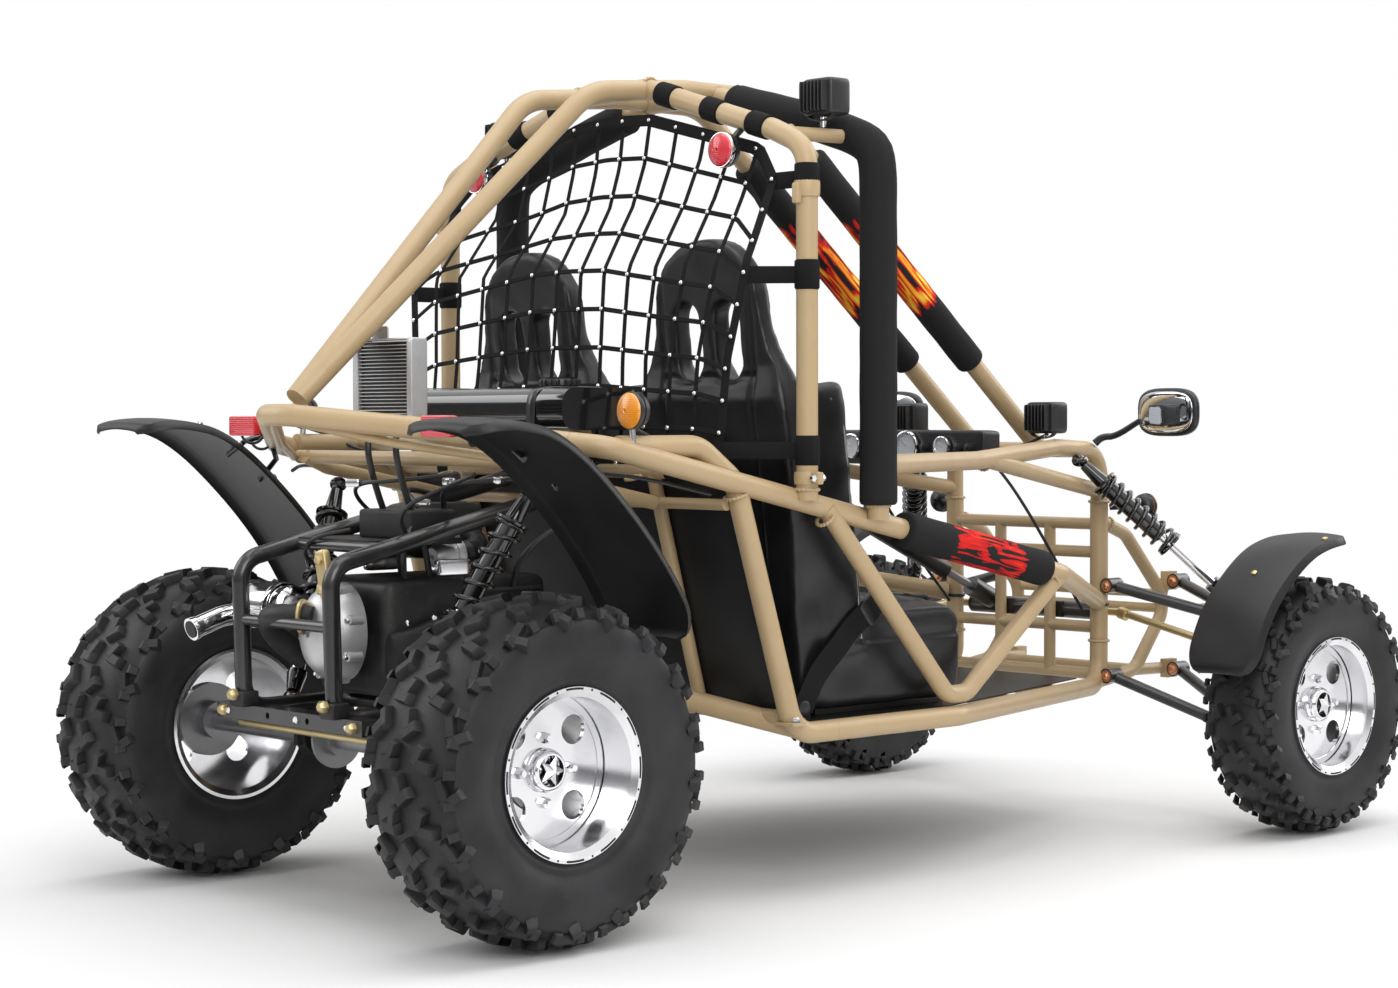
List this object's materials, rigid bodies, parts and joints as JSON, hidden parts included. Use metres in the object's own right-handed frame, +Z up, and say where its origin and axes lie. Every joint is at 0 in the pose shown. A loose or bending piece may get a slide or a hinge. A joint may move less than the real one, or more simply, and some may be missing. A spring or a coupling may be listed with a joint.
{
  "type": "two-seat off-road kart",
  "caption": "Open two-seat kart with a bent-tube frame and roof cage, rear engine, live rear axle, steered front wheels on wishbones, bucket seats and a net behind them.",
  "frame": {"origin": "on the ground, at the middle of the outer box", "axes": "+Y forward, +X to the vehicle's right, +Z up"},
  "size_m": [1.42, 2.446, 1.4789],
  "materials": {
    "frame_tan": "satin",
    "frame_black": "satin",
    "sheet_black": "satin",
    "floor_black": "satin",
    "seat_skin": "satin",
    "webbing": "matte",
    "padding": "matte",
    "tyre": "matte",
    "rim": "polished",
    "steel": "satin",
    "hub": "satin",
    "engine": "satin",
    "gear_case": "satin",
    "muffler": "satin",
    "cooler": "satin",
    "tank": "gloss",
    "lamp_red": "gloss",
    "lamp_amber": "gloss",
    "pod": "satin",
    "mirror_shell": "gloss",
    "spring": "satin",
    "damper": "polished",
    "grip": "satin"
  },
  "bodies": {
    "chassis": {"side_rails": "frame_tan", "tail_frame": "frame_tan", "seat_frame": "frame_tan", "lower_frame": "frame_tan", "side_vees": "frame_tan", "nose_frame": "frame_tan", "hood_frame": "frame_tan", "rear_hoop": "frame_tan", "front_hoop": "frame_tan", "roof_tubes": "frame_tan", "floor_pan": "floor_black", "firewall": "sheet_black", "seat_left": "seat_skin", "seat_right": "seat_skin", "seat_mounts": "frame_black", "lap_belts": "webbing", "roll_net": "webbing", "hoop_padding": "padding", "tube_padding": "padding", "engine_cradle": "frame_black", "engine_block": "engine", "gear_case": "gear_case", "muffler": "muffler", "oil_cooler": "cooler", "fuel_tank": "tank", "strut_bodies": "damper", "strut_springs": "spring", "wishbones": "frame_black", "rack_housing": "frame_black", "steering_column": "frame_black", "dashboard": "pod", "pedals": "frame_black", "gear_lever": "grip", "rear_fenders": "sheet_black", "tail_lamps": "lamp_red", "indicators": "lamp_amber", "lamp_pods": "pod", "mirrors": "mirror_shell"},
    "rear_axle": {"rear_axle": "steel", "rear_rims": "rim", "rear_tyres": "tyre"},
    "knuckle_left": {"knuckle_left": "hub", "front_fender_left": "sheet_black"},
    "knuckle_right": {"knuckle_right": "hub", "front_fender_right": "sheet_black"},
    "front_wheel_left": {"front_hub_left": "steel", "front_rim_left": "rim", "front_tyre_left": "tyre"},
    "front_wheel_right": {"front_hub_right": "steel", "front_rim_right": "rim", "front_tyre_right": "tyre"},
    "steering_wheel": {"steering_wheel": "grip", "steering_shaft": "steel"},
    "steering_rack": {"tie_rods": "steel"}
  },
  "joints": [
    {"name": "rear_axle_spin", "type": "hinge", "parent": "chassis", "child": "rear_axle", "pos_m": [0, -0.938, 0.285], "axis": [1, 0, 0], "continuous": true},
    {"name": "steer_wheel_turn", "type": "hinge", "parent": "chassis", "child": "steering_wheel", "pos_m": [-0.226, 0.152, 0.8], "axis": [-0.1396, -0.8806, 0.4529], "range_deg": [-180, 180]},
    {"name": "knuckle_left_steer", "type": "hinge", "parent": "chassis", "child": "knuckle_left", "pos_m": [-0.538, 0.962, 0.178], "axis": [0.0841, 0, 0.9965], "range_deg": [-27.5, 27.5]},
    {"name": "front_wheel_left_spin", "type": "hinge", "parent": "knuckle_left", "child": "front_wheel_left", "pos_m": [-0.6285, 0.962, 0.261], "axis": [1, 0, 0], "continuous": true},
    {"name": "knuckle_right_steer", "type": "hinge", "parent": "chassis", "child": "knuckle_right", "pos_m": [0.538, 0.962, 0.178], "axis": [-0.0841, 0, 0.9965], "range_deg": [-27.5, 27.5]},
    {"name": "front_wheel_right_spin", "type": "hinge", "parent": "knuckle_right", "child": "front_wheel_right", "pos_m": [0.6285, 0.962, 0.261], "axis": [1, 0, 0], "continuous": true},
    {"name": "rack_slide", "type": "slide", "parent": "chassis", "child": "steering_rack", "axis": [1, 0, 0], "range_m": [-0.0505, 0.0505]}
  ],
  "couplings": [
    {"joint": "knuckle_left_steer", "follows": "steer_wheel_turn", "ratio": 0.15},
    {"joint": "knuckle_right_steer", "follows": "steer_wheel_turn", "ratio": 0.15},
    {"joint": "rack_slide", "follows": "steer_wheel_turn", "m_per_rad": 0.016}
  ]
}
